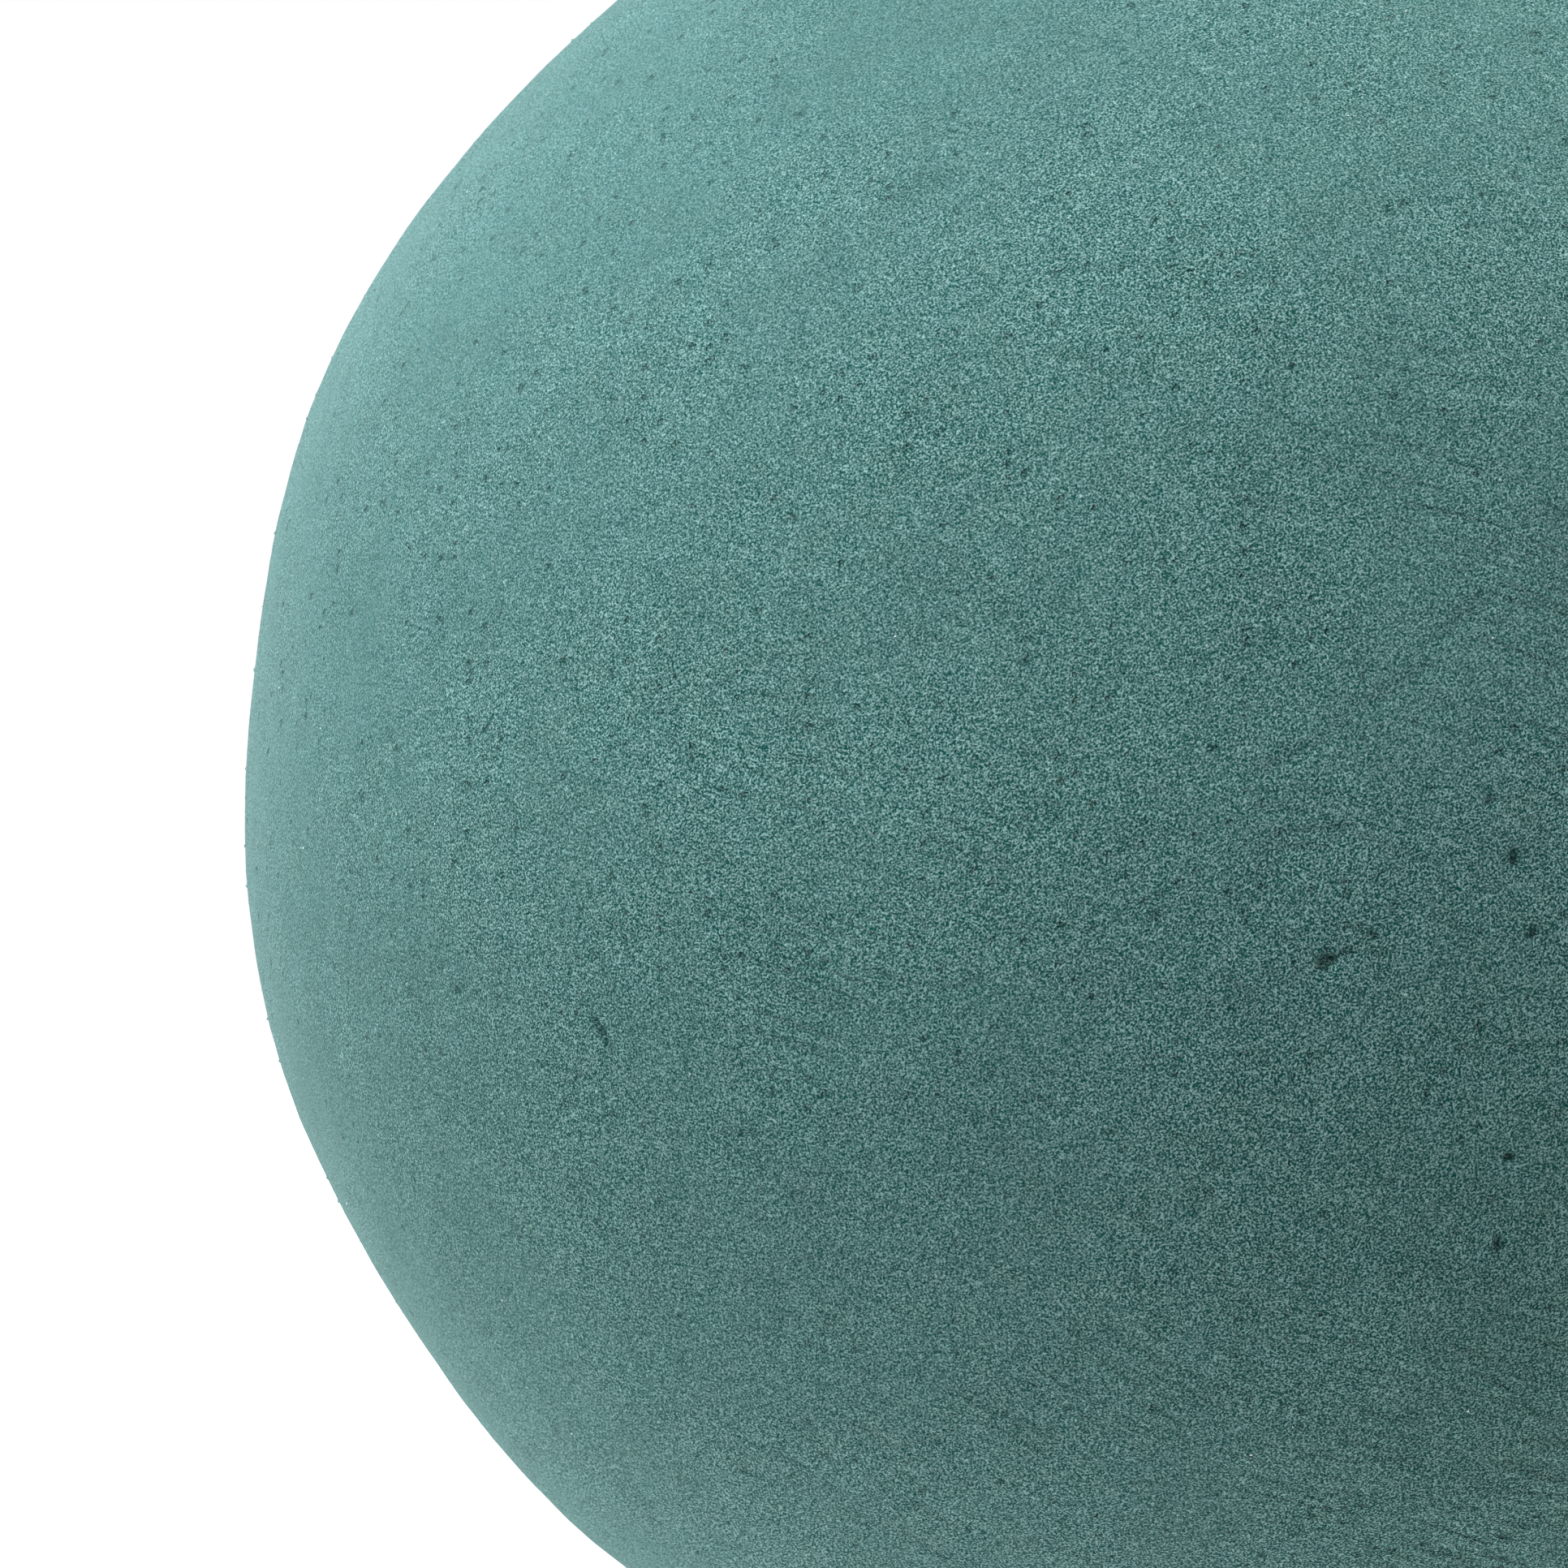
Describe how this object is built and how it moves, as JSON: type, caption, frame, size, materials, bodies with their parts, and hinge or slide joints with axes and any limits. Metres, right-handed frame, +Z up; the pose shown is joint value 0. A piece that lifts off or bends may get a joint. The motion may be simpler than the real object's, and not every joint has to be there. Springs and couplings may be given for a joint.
{
  "type": "floral foam ball",
  "caption": "Solid ball of fine-celled green wet floral foam, a base that cut flower stems are pushed into.",
  "frame": {"origin": "the ball's lowest point, where it rests", "axes": "+Z up through the ball's centre, +X to the right and -Y towards the viewer"},
  "size_m": [0.12, 0.12, 0.12],
  "materials": {
    "foam": "dry, matt, open-celled phenolic foam with a fine cut grain"
  },
  "bodies": {
    "root": {"foam_ball": "foam"}
  },
  "joints": []
}
